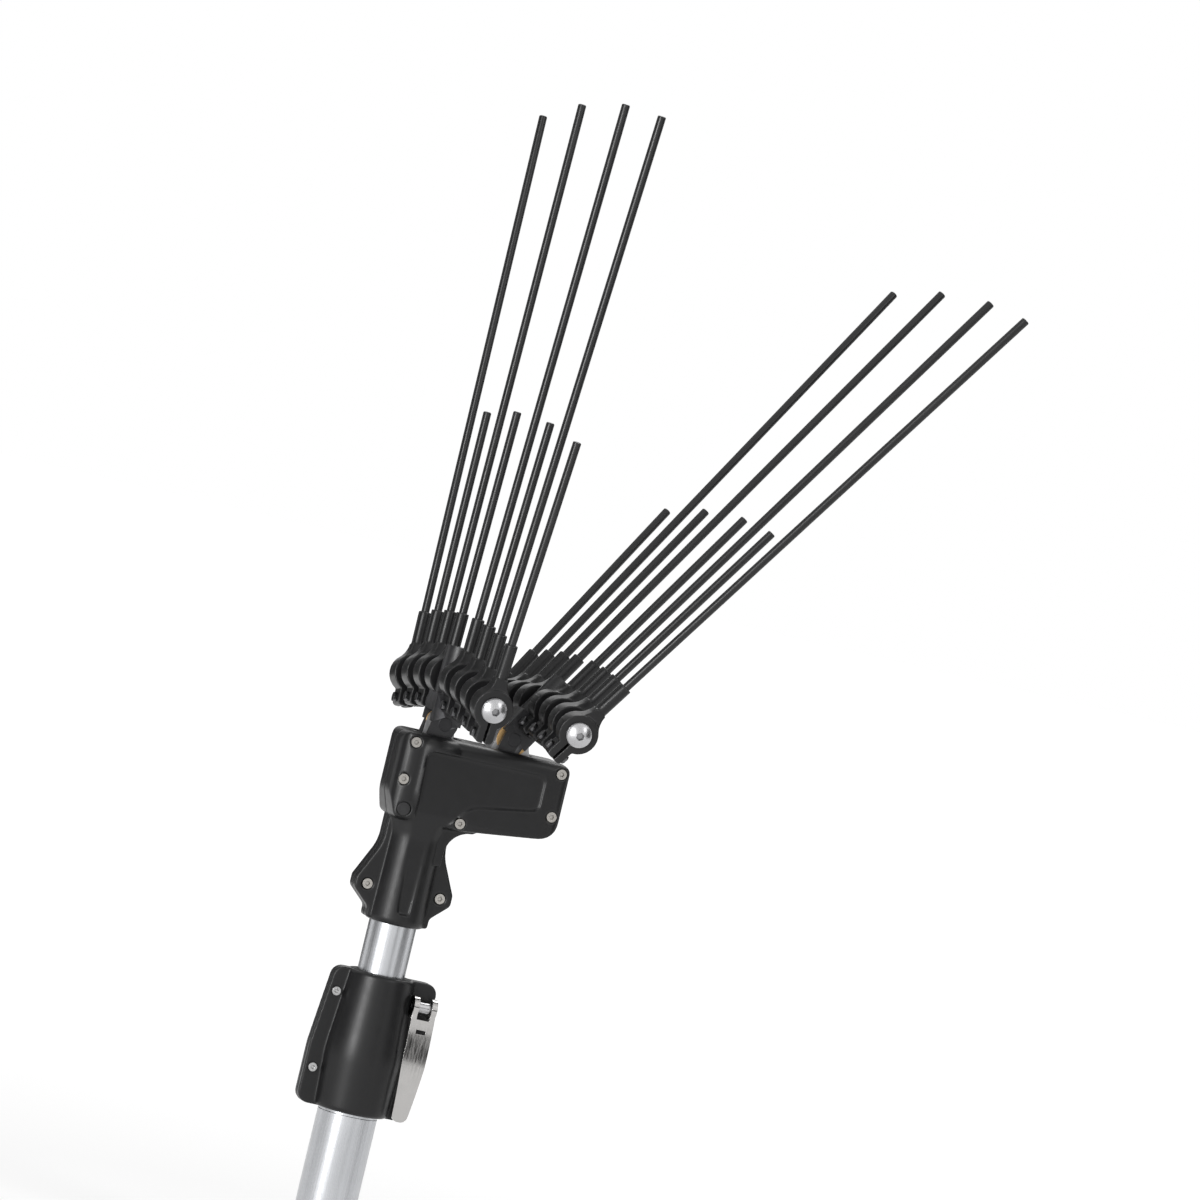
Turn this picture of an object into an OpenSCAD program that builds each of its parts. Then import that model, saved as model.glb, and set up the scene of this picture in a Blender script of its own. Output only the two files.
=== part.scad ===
// Electric olive harvester head: two combs of carbon tines that swing side to side on a
// pistol-shaped gear housing, carried by a telescopic pole with a cam-lever collar.
// Millimetres, +Z up along the pole, +X towards the right comb, -Y towards the viewer.
// The origin is the centre of the lower tube's open end.

/* [Pole] */
// Outer diameter of the inner, upper tube
upper_tube_d = 35; // [34:0.5:36]
// Wall of the upper tube
upper_tube_wall = 1.5; // [1:0.25:2.5]
// Outer diameter of the outer, lower tube
lower_tube_d = 44; // [43:0.5:46]
// Wall of the lower tube
lower_tube_wall = 2; // [1.5:0.25:2.5]
// Length of lower tube below the collar
lower_stub = 121; // [110:1:200]
// Length of upper tube showing between collar and housing
tube_show = 37; // [36:1:60]
// Gap between the upper tube's top and the motor
motor_gap = 11; // [10:1:15]
// Height of the upper tube's foot above the lower tube's end
tube_foot = 70; // [60:1:80]

/* [Collar] */
// Height of the clamp collar
collar_h = 102; // [96:1:110]
// Radius of the collar at its top
collar_top_r = 25; // [24.5:0.5:25.5]
// Radius of the collar where it is fullest
collar_mid_r = 30; // [29:0.5:31]
// Radius of the collar at its bottom
collar_low_r = 28; // [27:0.5:29]
// Reach of the left flange from the pole axis, at the top
flange_top_x = 35; // [34:0.5:37]
// Reach of the right flange from the pole axis, at the top
flange_lever_x = 43; // [42:0.5:45]
// Reach of a flange where it is widest
flange_mid_x = 41; // [40:0.5:43]
// Thickness of one flange half
flange_t = 6; // [5:0.5:7]
// Length of the clamp sleeve above the lower tube
sleeve_l = 18; // [14:1:22]

/* [Cam lever] */
// Length of the lever from its pivot to its tip
lever_l = 84; // [70:1:88]
// Width of the lever at its widest
lever_w = 17.5; // [16:0.5:18]
// Thickness of the lever's sheet
lever_t = 2.5; // [2:0.25:3]
// Radius of the cam ends
cam_r = 7.7; // [7:0.1:7.7]

/* [Housing] */
// Height of the housing
housing_h = 140; // [138:1:150]
// Reach of the barrel from the pole axis
barrel_reach = 98; // [94:1:106]
// Reach of the housing behind the pole axis
barrel_back = 30.5; // [30:0.5:31]
// Height of the barrel at its far end
barrel_h = 55; // [53:1:58]
// Height of the barrel at the grip
barrel_root_h = 64; // [62:1:68]
// Half width of the grip below the barrel
grip_half = 22; // [21.5:0.5:24]
// Half thickness of the barrel
barrel_half_t = 24; // [23.5:0.5:26]
// Radius of the round column along the pole axis
column_r = 28; // [27.5:0.5:30]
// Wall of the housing
wall = 3; // [2.5:0.25:3]
// Round of the housing's long edges
edge_r = 7; // [5:0.5:7]
// Reach of an ear from the pole axis
ear_reach = 36.6; // [35:0.1:40]
// Half thickness of the pair of ears
ear_half_t = 9; // [8:0.5:10]

/* [Drive] */
// Distance between the two comb pivots
pivot_span = 53; // [52:0.5:56]
// Height of the comb pivots above the housing
pivot_rise = 9; // [9:0.5:11]
// Length of the lever arms below the pivots
arm_l = 26; // [25.5:0.5:27]
// Angle that a comb swings from end to end
stroke = 36; // [30:1:36]
// Module of the gear teeth
gear_module = 0.8; // [0.75:0.01:0.8]
// Teeth on the sun gear and on each planet
sun_teeth = 12; // [12:12:12]
// Length of the motor can
motor_l = 36; // [30:1:37]

/* [Combs] */
// Lean of the left comb at rest, degrees from the pole axis
left_lean = 2.2; // [0:0.1:3]
// Lean of the right comb at rest, degrees from the pole axis
right_lean = 33; // [30:0.5:34]
// Distance from pivot to comb bar
post_l = 33; // [32:0.5:38]
// Diameter of a post
post_d = 21.6; // [20:0.2:22]
// Radius of the bow of a comb bar
bow_r = 808; // [760:1:900]
// Diameter of a comb bar
bar_d = 12; // [11:0.5:13]
// Distance between neighbouring holders along the bar
holder_pitch = 32.6; // [31:0.1:35]
// Distance between the two middle holders along the bar
middle_pitch = 43; // [42:0.5:46]
// Outer radius of a holder's eye
eye_r = 14.2; // [13:0.1:15]
// Width of a holder's eye
eye_w = 16; // [14:0.5:17]
// Diameter of a tine
tine_d = 6; // [5:0.25:6.5]
// Length of a long tine beyond its holder
long_tine = 383; // [300:1:420]
// Length of a short tine beyond its holder
short_tine = 151; // [100:1:200]
// Distance from the bar to the top of a socket
socket_top = 47; // [44:0.5:50]
// Outer diameter of a socket
socket_d = 9.4; // [9:0.1:10]
// Reach of the pinch ear below the bar
pinch_reach = 25; // [24:0.5:27]

/* [Fits] */
// Radial gap of a running fit
run_gap = 0.04; // [0.02:0.01:0.08]
// Gap of a seat between pieces that do not move
seat_gap = 0.02; // [0.01:0.01:0.05]
// Gap between moving pieces
clear = 0.6; // [0.4:0.1:0.8]

/* [Hidden] */
$fn = 64;
SIDES = ["left", "right"];
HOLDERS = [1 : 8];

// Length that a cut runs past the face it opens
overrun = 1;
// Steps along a rounded corner
arc_steps = 6;

// Heights along the pole
collar_z = lower_stub;
collar_top_z = collar_z + collar_h;
lower_tube_top = collar_top_z - sleeve_l;
housing_z = collar_top_z + tube_show;
top_z = housing_z + housing_h;
pivot_z = top_z + pivot_rise;
upper_r = upper_tube_d / 2;
lower_r = lower_tube_d / 2;
lower_bore_r = lower_r - lower_tube_wall;

// Rolled mark round the lower tube at the collar's foot
mark_w = 2;
mark_depth = 0.5;

// Guide bush on the foot of the upper tube
guide_l = 16;
guide_lip = 3;

// Collar details
collar_fullest_share = 0.42;
flange_corner_r = 8;
clamp_slot = 1.2;
// Flange screws: distance from the pole axis and height above the collar's foot
flange_low_in = 5.5;
flange_high_in = 3.6;
flange_low_share = 0.26;
flange_high_share = 0.82;
FLANGE_SCREWS = [
    [-flange_mid_x + flange_low_in, collar_h * flange_low_share],
    [-flange_top_x + flange_high_in, collar_h * flange_high_share]];
flange_screw_d = 4;
flange_head_d = 6.4;
flange_head_h = 3;
flange_nut_d = 7;
flange_nut_h = 3.2;
clamp_bolt_d = 6;
clamp_bolt_x = 33;
clamp_drop = 17;
clamp_bolt_z = collar_top_z - clamp_drop;
cam_y = -flange_t - cam_r - seat_gap * 2;
clamp_eye_d = 8;
clamp_nut_h = 4;
clamp_nut_d = 11;
lever_pin_d = 4;
prong_w = 4;
lever_tip_w = 11;
lever_tip_r = 5;
lever_bow = 4.5;
lever_slot_w = 3;
lever_slot_l = 7;

// Housing details
top_corner_r = 9;
far_corner_r = 16;
crotch_r = 18;
foot_corner_r = 8;
back_corner_r = 6;
shoulder_in = 7;
back_round_r = 13;
web_half_t = 16;
waist_half = 21;
waist_drop = 74;
shoulder_drop = 44;
shoulder_r = 24;
ear_top_drop = 62;
ear_waist_drop = 84;
ear_waist_half = 23.6;
ear_flare_r = 30;
ear_drop = 115;
ear_foot_drop = 138.5;
ear_corner_r = 8;
ear_root_half = 15;
// How far the column stands inside the housing's sides, top and foot
column_inset = 0.5;
panel_depth = 1.6;
panel_left = 11;
panel_right_margin = 18;
panel_top_margin = 11;
panel_foot_drop = 37;
panel_root_drop = 45;
panel_root_x = 30;
panel_corner_r = 6;
groove_half = 4.6;
groove_foot_drop = 131;
groove_floor = 19.6;
groove_corner_r = 3;
// Heights between which the recess's floor slopes from panel to groove
slope_top_drop = 56;
slope_foot_drop = 76;
screw_d = 4;
screw_head_d = 7.4;
screw_head_h = 2.6;
boss_d = 7.4;
screw_reach = 14;
counterbore_gap = 0.4;
plug_r = 5;
plug_x = -18;
plug_drop = 56;
plug_y = -21.5;
plug_l = 4;
rib_t = 3;
motor_rib_share = 0.25;

// Pivot frame and opening in the housing's top
frame_t = 6;
frame_back = 16.5;
frame_end_room = 23;
frame_front = barrel_reach - frame_end_room;
frame_half_w = barrel_half_t - wall - seat_gap;
lug_half_t = 8;
// Lugs: place, radius of the top, half width of the foot, radius of the bush's flange
LUGS = [[0, 9, 10, 9.2], [pivot_span, 12, 16, 12.2]];
lug_top_r = LUGS[1][1];
bush_wall = 2;
flange_bush_t = 0.9;
pivot_pin_d = 10;
cheek_in = lug_half_t + flange_bush_t + clear / 6;
cheek_t = 3.6;
cheek_out = cheek_in + cheek_t;
frame_top = top_z - wall - seat_gap;
slot_half = 17;
opening_half = 17;
ledge_t = 4;

// Drive link, crank and gear train
stroke_half = stroke / 2;
link_pin_d = 6;
link_end_r = 6;
link_t = 3;
link_in = cheek_out + clear;
link_out = link_in + link_t;
link_pin_x = -arm_l * sin(stroke_half);
link_pin_z = pivot_z - arm_l * cos(stroke_half);
arm_end_r = 6.5;
crank_throw = arm_l * sin(stroke_half);
link_drop = arm_l * (1 - cos(stroke_half));
roller_r = 6;
roller_pin_d = 6;
// Side room for the roller, as the yoke's even swing and the crank's circle part between the stroke's ends
yoke_play = 2;
yoke_wall = 3;
yoke_roof = 3.5;
yoke_top = link_pin_z - arm_end_r - clear * 2;
yoke_slot_top = yoke_top - yoke_roof;
roller_top = yoke_slot_top - link_drop - clear;
roller_h = 9;
roller_foot = roller_top - roller_h;
yoke_foot = roller_foot + link_drop;
crank_t = 6;
crank_top = roller_foot - clear;
crank_r = crank_throw + roller_r + 2 * clear;
crank_shaft_r = 5;
ring_teeth = sun_teeth * 3;
pitch_r = gear_module * sun_teeth / 2;
ring_pitch_r = gear_module * ring_teeth / 2;
planet_orbit = pitch_r * 2;
tooth_addendum_share = 0.8;
tooth_dedendum_share = 1;
tooth_backlash_share = 0.16;
pressure_angle = 25;
gear_t = 8;
ring_wall = 2.6;
case_r = ring_pitch_r + gear_module * tooth_dedendum_share + ring_wall;
cover_t = 5;
carrier_t = 3.5;
planet_pin_d = 4;
sun_shaft_d = 4;
bearing_r = 8.5;
case_top = crank_top - crank_t - clear;
carrier_top = case_top - cover_t - clear;
carrier_foot = carrier_top - carrier_t;
gear_top = carrier_foot - clear / 2;
gear_foot = gear_top - gear_t;
case_foot = gear_foot - clear;
motor_foot = case_foot - motor_l;
upper_tube_top = motor_foot - motor_gap;
tube_grip = upper_tube_top - housing_z;
can_wall = 2;
rotor_r = 13;
shaft_foot = motor_foot + can_wall / 2 + seat_gap;
rotor_end_gap = 3;

// Screw places: distance from the pole axis, drop below the housing top, height of the seat in the shell
screw_seat = barrel_half_t - edge_r / 2;
yoke_half = roller_r + yoke_play + yoke_wall;
SHELL_SCREWS = [
    [-frame_back - boss_d / 2 - clear / 2, boss_d, screw_seat],
    [-crank_throw - yoke_half - boss_d / 2 - clear, housing_h / 4, screw_seat],
    [barrel_reach - boss_d, boss_d, screw_seat],
    [barrel_reach - boss_d, barrel_h - far_corner_r, screw_seat],
    [grip_half + wall, barrel_root_h - wall * 2, screw_seat]];
EAR_SCREWS = [for (s = [-1, 1]) [s * (ear_reach - ear_half_t), ear_drop, ear_half_t - wall]];

// Comb details
bar_r = bar_d / 2;
tine_r = tine_d / 2;
socket_r = socket_d / 2;
tine_depth = 23;
tip_chamfer = 0.6;
neck_fillet_r = 16;
holder_bore_gap = 0.1;
pinch_half = 6.5;
pinch_corner_r = 3;
pinch_slit = 1.6;
pinch_bolt_d = 4;
pinch_bolt_drop = 19.5;
pinch_head_d = 7;
pinch_head_h = 2.6;
pinch_nut_h = 2.8;
end_head_d = 17.5;
end_head_h = 5;
dome_share = 0.7;
end_washer_d = 18.2;
end_washer_t = 1.6;
end_bolt_d = 8;
end_bolt_l = 14;
end_socket_d = 6;
end_socket_depth = 2.8;
post_top_above = 23;
fork_roof = lug_top_r + clear * 3;
fork_shoulder = 7;
fork_half = 11.5;
// Radius of a fork cheek round the pivot pin, left and right
left_cheek_r = 9.6;
right_cheek_r = 8.6;
holder_turn = holder_pitch / bow_r * 180 / PI;
middle_turn = middle_pitch / bow_r * 90 / PI;
end_holder_turn = middle_turn + 3 * holder_turn;
end_turn = end_holder_turn + eye_w / bow_r * 90 / PI;

// Unit vector along v
function unit(v) = v / norm(v);

// Arc that rounds corner c between corners p and n of a counter-clockwise outline:
// a list of [point, outward normal]
function corner_arc(p, c, n) =
    let (c2 = [c.x, c.y], u = unit([p.x, p.y] - c2), v = unit([n.x, n.y] - c2),
         half = acos(u * v) / 2, turn = u.y * v.x - u.x * v.y > 0 ? 1 : -1,
         centre = c2 + unit(u + v) * c[2] / sin(half), from = c2 + u * c[2] / tan(half) - centre,
         a = atan2(from.y, from.x), sweep = turn * (180 - 2 * half))
    [for (i = [0 : arc_steps]) let (b = a + sweep * i / arc_steps, d = [cos(b), sin(b)])
        [centre + c[2] * d, turn * d]];

// Outline with rounded corners, each corner given as [x, y, radius]
function rounded(corners) =
    [for (i = [0 : len(corners) - 1])
        each corner_arc(corners[(i + len(corners) - 1) % len(corners)], corners[i],
                        corners[(i + 1) % len(corners)])];

// Plain points of a rounded outline, drawn in by a distance
function inset_points(outline, inset) = [for (q = outline) q[0] - inset * q[1]];

// Block that is rounded in all three views: outline from the front, section along the barrel
// and plan from above. Heights are from the housing top; inset draws every face in
module barrel_block(inset) {
    front = rounded([
        [-barrel_back + shoulder_in, -barrel_root_h, back_corner_r], [grip_half, -barrel_root_h, crotch_r],
        [barrel_reach, -barrel_h, far_corner_r], [barrel_reach, 0, top_corner_r],
        [-barrel_back, 0, top_corner_r], [-barrel_back, -shoulder_drop, shoulder_r]]);
    section = rounded([
        [-barrel_half_t, -barrel_root_h, edge_r], [barrel_half_t, -barrel_root_h, edge_r],
        [barrel_half_t, 0, edge_r], [-barrel_half_t, 0, edge_r]]);
    plan = rounded([
        [-barrel_back, -barrel_half_t, back_round_r], [barrel_reach, -barrel_half_t, edge_r],
        [barrel_reach, barrel_half_t, edge_r], [-barrel_back, barrel_half_t, back_round_r]]);
    intersection() {
        upright(-barrel_half_t, barrel_half_t) polygon(inset_points(front, inset));
        translate([-barrel_back, 0, 0]) rotate([90, 0, 90]) linear_extrude(barrel_back + barrel_reach)
            polygon(inset_points(section, inset));
        translate([0, 0, -barrel_root_h]) linear_extrude(barrel_root_h) polygon(inset_points(plan, inset));
    }
}

// Round column of the housing along the pole axis, heights from the housing top
module column() {
    profile = rounded([
        [0, -housing_h, 0], [grip_half, -housing_h, foot_corner_r / 2],
        [waist_half, -waist_drop, shoulder_r], [column_r, -shoulder_drop, shoulder_r],
        [column_r, -column_inset, top_corner_r], [0, -column_inset, 0]]);
    rotate_extrude() polygon([for (q = profile) [max(q[0].x, 0), q[0].y]]);
}

// Web that fills the crotch between barrel and grip with a round hollow
module crotch_web() {
    centre = [grip_half + crotch_r - wall / 2, -barrel_root_h - crotch_r];
    outline = concat(
        [[0, -barrel_root_h + wall], [grip_half + crotch_r + wall, -barrel_root_h + wall]],
        [for (i = [0 : arc_steps]) let (a = 90 + 90 * i / arc_steps) centre + crotch_r * [cos(a), sin(a)]],
        [[grip_half - wall / 2, -ear_waist_drop - ear_corner_r], [0, -ear_waist_drop - ear_corner_r]]);
    upright(-web_half_t, web_half_t) polygon(outline);
}

// Everything on the viewer's side of the parting plane
module front_half(size) {
    intersection() {
        children();
        translate([-size, -size, -size]) cube([2 * size, size, 2 * size]);
    }
}

// Bar with round ends of two sizes, seen from the front
module link_plate(p, p_r, q, q_r) {
    d = norm(q - p);
    a = atan2(q.y - p.y, q.x - p.x);
    b = acos((p_r - q_r) / d);
    translate(p) circle(p_r);
    translate(q) circle(q_r);
    polygon([for (s = [1, -1]) p + p_r * [cos(a + s * b), sin(a + s * b)],
             for (s = [-1, 1]) q + q_r * [cos(a + s * b), sin(a + s * b)]]);
}

// Stands a drawing in x and z up, with its thickness between two places on the Y axis
module upright(y_from, y_to) {
    translate([0, y_to, 0]) rotate([90, 0, 0]) linear_extrude(y_to - y_from) children();
}

// Cylinder along the Y axis between two places
module pin_y(r, y_from, y_to) {
    translate([0, y_to, 0]) rotate([90, 0, 0]) cylinder(r = r, h = y_to - y_from);
}

// Socket-head screw along Y: the underside of its head at y_seat, the head towards the viewer
module screw_y(d, head_d, head_h, y_seat, y_tip) {
    difference() {
        union() {
            pin_y(d / 2, y_seat, y_tip);
            pin_y(head_d / 2, y_seat - head_h, y_seat);
        }
        translate([0, y_seat - head_h / 2, 0]) rotate([90, 0, 0])
            cylinder(d = head_d / 2, h = head_h, $fn = 6);
    }
}

// Pole

module lower_tube() {
    color("silver") difference() {
        rotate_extrude() polygon([
            [0, 0], [lower_r, 0], [lower_r, collar_z - mark_w], [lower_r - mark_depth, collar_z - mark_w],
            [lower_r - mark_depth, collar_z + mark_w], [lower_r, collar_z + mark_w],
            [lower_r, lower_tube_top], [0, lower_tube_top]]);
        translate([0, 0, -overrun]) cylinder(r = lower_bore_r, h = lower_tube_top + 2 * overrun);
    }
}

module upper_tube() {
    color("silver") translate([0, 0, tube_foot]) difference() {
        cylinder(r = upper_r, h = upper_tube_top - tube_foot);
        translate([0, 0, -overrun])
            cylinder(r = upper_r - upper_tube_wall, h = upper_tube_top - tube_foot + 2 * overrun);
    }
}

module guide_bush() {
    color("dimgray") translate([0, 0, tube_foot - guide_lip]) difference() {
        cylinder(r = lower_bore_r - run_gap, h = guide_l);
        translate([0, 0, guide_lip]) cylinder(r = upper_r + seat_gap, h = guide_l);
        translate([0, 0, -overrun]) cylinder(r = upper_r - upper_tube_wall, h = guide_l);
    }
}

module clamp_sleeve() {
    color("dimgray") translate([0, 0, lower_tube_top]) difference() {
        cylinder(r = lower_r, h = sleeve_l);
        translate([0, 0, -overrun]) cylinder(r = upper_r + run_gap, h = sleeve_l + 2 * overrun);
        translate([0, -clamp_slot / 2, -overrun])
            cube([lower_r + overrun, clamp_slot, sleeve_l + 2 * overrun]);
    }
}

// Collar

function flange_outline() = rounded([
    [-flange_mid_x, collar_z, flange_corner_r], [flange_mid_x, collar_z, flange_corner_r],
    [flange_mid_x, collar_z + collar_h * collar_fullest_share, collar_h],
    [flange_lever_x, collar_top_z, flange_corner_r], [-flange_top_x, collar_top_z, flange_corner_r],
    [-flange_mid_x, collar_z + collar_h * collar_fullest_share, collar_h]]);

module collar_solid() {
    profile = rounded([
        [0, collar_z, 0], [collar_low_r, collar_z, flange_t / 2],
        [collar_mid_r, collar_z + collar_h * collar_fullest_share, collar_h],
        [collar_top_r, collar_top_z, flange_t / 2], [0, collar_top_z, 0]]);
    rotate_extrude() polygon([for (q = profile) [max(q[0].x, 0), q[0].y]]);
    upright(-flange_t, flange_t) polygon(inset_points(flange_outline(), 0));
}

module collar_half() {
    color("#2a2a2c") difference() {
        front_half(top_z) collar_solid();
        translate([0, 0, collar_z - overrun]) cylinder(r = lower_r + seat_gap, h = collar_h + 2 * overrun);
        translate([0, -clamp_slot / 2, collar_z - overrun])
            cube([flange_lever_x + overrun, clamp_slot, collar_h + 2 * overrun]);
        for (s = FLANGE_SCREWS) translate([s.x, 0, collar_z + s.y])
            pin_y(flange_screw_d / 2 + seat_gap, -collar_mid_r, overrun);
        translate([clamp_bolt_x, 0, clamp_bolt_z]) {
            pin_y(clamp_bolt_d / 2 + seat_gap, -collar_mid_r, overrun);
            translate([-lever_w / 2 - clear, -collar_mid_r - flange_t, -cam_r - clear])
                cube([lever_w * 2, collar_mid_r, 2 * (cam_r + clear)]);
        }
    }
}

module collar_front_half() collar_half();

module collar_rear_half() mirror([0, 1, 0]) collar_half();

module collar_screws() {
    color("#3a3a3c") for (s = FLANGE_SCREWS) translate([s.x, 0, collar_z + s.y])
        screw_y(flange_screw_d, flange_head_d, flange_head_h, -flange_t, flange_t + flange_nut_h);
}

module collar_nuts() {
    color("#3a3a3c") for (s = FLANGE_SCREWS) translate([s.x, 0, collar_z + s.y])
        difference() {
            translate([0, flange_t + flange_nut_h, 0]) rotate([90, 0, 0])
                cylinder(d = flange_nut_d, h = flange_nut_h, $fn = 6);
            pin_y(flange_screw_d / 2 + seat_gap, 0, flange_t + flange_nut_h + overrun);
        }
}

// Clamp bolt: an eye for the lever's pin in front, a nut behind
module clamp_bolt() {
    color("gainsboro") translate([clamp_bolt_x, 0, clamp_bolt_z]) difference() {
        union() {
            pin_y(clamp_bolt_d / 2, cam_y, flange_t + clamp_nut_h);
            translate([-lever_w / 2 + prong_w + clear, cam_y, 0]) rotate([0, 90, 0])
                cylinder(d = clamp_eye_d, h = lever_w - 2 * (prong_w + clear));
            translate([0, flange_t + clamp_nut_h, 0]) rotate([90, 0, 0])
                cylinder(d = clamp_nut_d, h = clamp_nut_h, $fn = 6);
        }
        translate([-lever_w, cam_y, 0]) rotate([0, 90, 0])
            cylinder(d = lever_pin_d + 2 * seat_gap, h = 2 * lever_w);
    }
}

module lever_pin() {
    color("gray") translate([clamp_bolt_x - lever_w / 2, cam_y, clamp_bolt_z]) rotate([0, 90, 0])
        cylinder(d = lever_pin_d, h = lever_w);
}

// Stamped lever seen from the front: widest at the prongs, narrowing to a round tip
function lever_outline() = rounded([
    [-lever_tip_w / 2, -lever_l, lever_tip_r], [lever_tip_w / 2, -lever_l, lever_tip_r],
    [lever_w / 2, -lever_l / 2, lever_l], [lever_w / 2, 0, lever_t], [-lever_w / 2, 0, lever_t],
    [-lever_w / 2, -lever_l / 2, lever_l]]);

// Radius and half angle of the lever's bow along its length
lever_bow_r = (lever_l * lever_l / 4 + lever_bow * lever_bow) / (2 * lever_bow);

module clamp_lever() {
    color("gainsboro") translate([clamp_bolt_x, cam_y, clamp_bolt_z]) difference() {
        union() {
            intersection() {
                upright(-lever_l, overrun) polygon(inset_points(lever_outline(), 0));
                translate([-lever_w, lever_bow_r - cam_r + lever_t - lever_bow, -lever_l / 2])
                    rotate([0, 90, 0]) difference() {
                        cylinder(r = lever_bow_r, h = 2 * lever_w, $fn = 128);
                        translate([0, 0, -overrun])
                            cylinder(r = lever_bow_r - lever_t, h = 2 * (lever_w + overrun), $fn = 128);
                    }
            }
            for (s = [-1, 1]) translate([s * (lever_w - prong_w) / 2 - prong_w / 2, 0, 0]) rotate([0, 90, 0])
                cylinder(r = cam_r, h = prong_w);
        }
        translate([-lever_w, 0, 0]) rotate([0, 90, 0])
            cylinder(d = lever_pin_d + 2 * run_gap, h = 2 * lever_w);
        translate([-lever_w / 2 + prong_w, -lever_l, -cam_r - clear])
            cube([lever_w - 2 * prong_w, 2 * lever_l, lever_l]);
        translate([-lever_slot_l / 2, -lever_l, -cam_r * 2 - lever_slot_w])
            cube([lever_slot_l, lever_l, lever_slot_w]);
    }
}

// Housing

// Flange beside the grip that flares out to an ear, heights from the housing top
function ear_outline() = rounded([
    [ear_root_half, -ear_foot_drop, ear_corner_r / 4], [ear_waist_half, -ear_foot_drop, ear_corner_r / 4],
    [ear_waist_half, -ear_drop - ear_corner_r * 2, ear_corner_r / 2],
    [ear_reach, -ear_drop - ear_corner_r / 2, ear_corner_r / 2],
    [ear_reach, -ear_drop + ear_corner_r / 2, ear_corner_r / 2],
    [ear_waist_half, -ear_waist_drop, ear_flare_r],
    [ear_waist_half, -ear_top_drop, ear_corner_r / 4], [ear_root_half, -ear_top_drop, ear_corner_r / 4]]);

// Recess from the barrel's face down the grip, heights from the housing top
function recess_outline() = rounded([
    [-groove_half, -groove_foot_drop, groove_corner_r], [groove_half, -groove_foot_drop, groove_corner_r],
    [groove_half + wall / 2, -waist_drop, shoulder_r], [panel_root_x, -panel_root_drop, crotch_r],
    [barrel_reach - panel_right_margin, -panel_foot_drop, panel_corner_r],
    [barrel_reach - panel_right_margin, -panel_top_margin, panel_corner_r],
    [-panel_left, -panel_top_margin, panel_corner_r], [-groove_half * 2, -slope_top_drop, shoulder_r]]);

// What the recess takes away: shallow in the barrel, sloping to the groove's floor in the grip
module recess() {
    out = -column_r - overrun;
    panel_y = -barrel_half_t + panel_depth;
    intersection() {
        upright(out - overrun, 0) polygon(inset_points(recess_outline(), 0));
        translate([-barrel_back, 0, 0]) rotate([90, 0, 90]) linear_extrude(barrel_back + barrel_reach)
            polygon([[out, -housing_h], [-groove_floor, -housing_h], [-groove_floor, -slope_foot_drop],
                     [panel_y, -slope_top_drop], [panel_y, 0], [out, 0]]);
    }
}

module housing_outside() {
    front_half(housing_h * 2) {
        barrel_block(0);
        column();
        crotch_web();
        upright(-ear_half_t, ear_half_t) {
            polygon(inset_points(ear_outline(), 0));
            mirror([1, 0]) polygon(inset_points(ear_outline(), 0));
        }
    }
}

module housing_hollow() {
    barrel_block(wall);
    translate([0, 0, -housing_h + tube_grip])
        cylinder(r = case_r + clear, h = housing_h - tube_grip - barrel_root_h + 2 * wall);
}

// Seats inside the shell: screw bosses, ribs round the motor, ledges under the pivot frame
module housing_seats() {
    for (s = SHELL_SCREWS) translate([s.x, 0, -s.y]) pin_y(boss_d / 2, -s[2], 0);
    for (x = [frame_front - ledge_t, -frame_back])
        translate([x, -frame_half_w - wall / 2, -wall - frame_t - ledge_t - 2 * seat_gap])
            cube([ledge_t, wall, ledge_t]);
    difference() {
        for (z = [case_top - rib_t - clear, motor_foot + motor_l * motor_rib_share])
            translate([0, 0, z - top_z]) cylinder(r = column_r, h = rib_t);
        translate([0, 0, -housing_h]) cylinder(r = case_r + seat_gap, h = 2 * housing_h);
        translate([-housing_h, 0, -housing_h * 2]) cube(housing_h * 4);
    }
}

module housing_half() {
    difference() {
        union() {
            difference() {
                housing_outside();
                housing_hollow();
            }
            intersection() {
                housing_seats();
                housing_outside();
            }
        }
        translate([0, 0, -housing_h - overrun])
            cylinder(r = upper_r + seat_gap, h = tube_grip + overrun + seat_gap);
        for (x = [0, pivot_span]) translate([x - opening_half, -cheek_out - clear, -wall - overrun])
            cube([2 * opening_half, cheek_out + clear + overrun, wall + 2 * overrun]);
        for (s = concat(SHELL_SCREWS, EAR_SCREWS)) translate([s.x, 0, -s.y])
            pin_y(screw_d / 2 + seat_gap, -s[2] - overrun, overrun);
    }
}

module housing_front() {
    color("#1b1b1d") translate([0, 0, top_z]) difference() {
        housing_half();
        for (s = concat(SHELL_SCREWS, EAR_SCREWS)) translate([s.x, 0, -s.y])
            pin_y(screw_head_d / 2 + counterbore_gap, -column_r - overrun, -s[2]);
        recess();
        translate([plug_x, 0, -plug_drop]) pin_y(plug_r + seat_gap, -column_r - overrun, plug_y + plug_l);
    }
}

module housing_rear() {
    color("#1b1b1d") translate([0, 0, top_z]) mirror([0, 1, 0]) housing_half();
}

module housing_screws() {
    color("#55565a") for (s = concat(SHELL_SCREWS, EAR_SCREWS)) translate([s.x, 0, top_z - s.y])
        screw_y(screw_d, screw_head_d, screw_head_h, -s[2], min(screw_reach, s[2] - overrun));
}

module side_plug() {
    color("#101012") translate([plug_x, 0, top_z - plug_drop])
        pin_y(plug_r, plug_y - overrun, plug_y + plug_l);
}

// Drive

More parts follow.
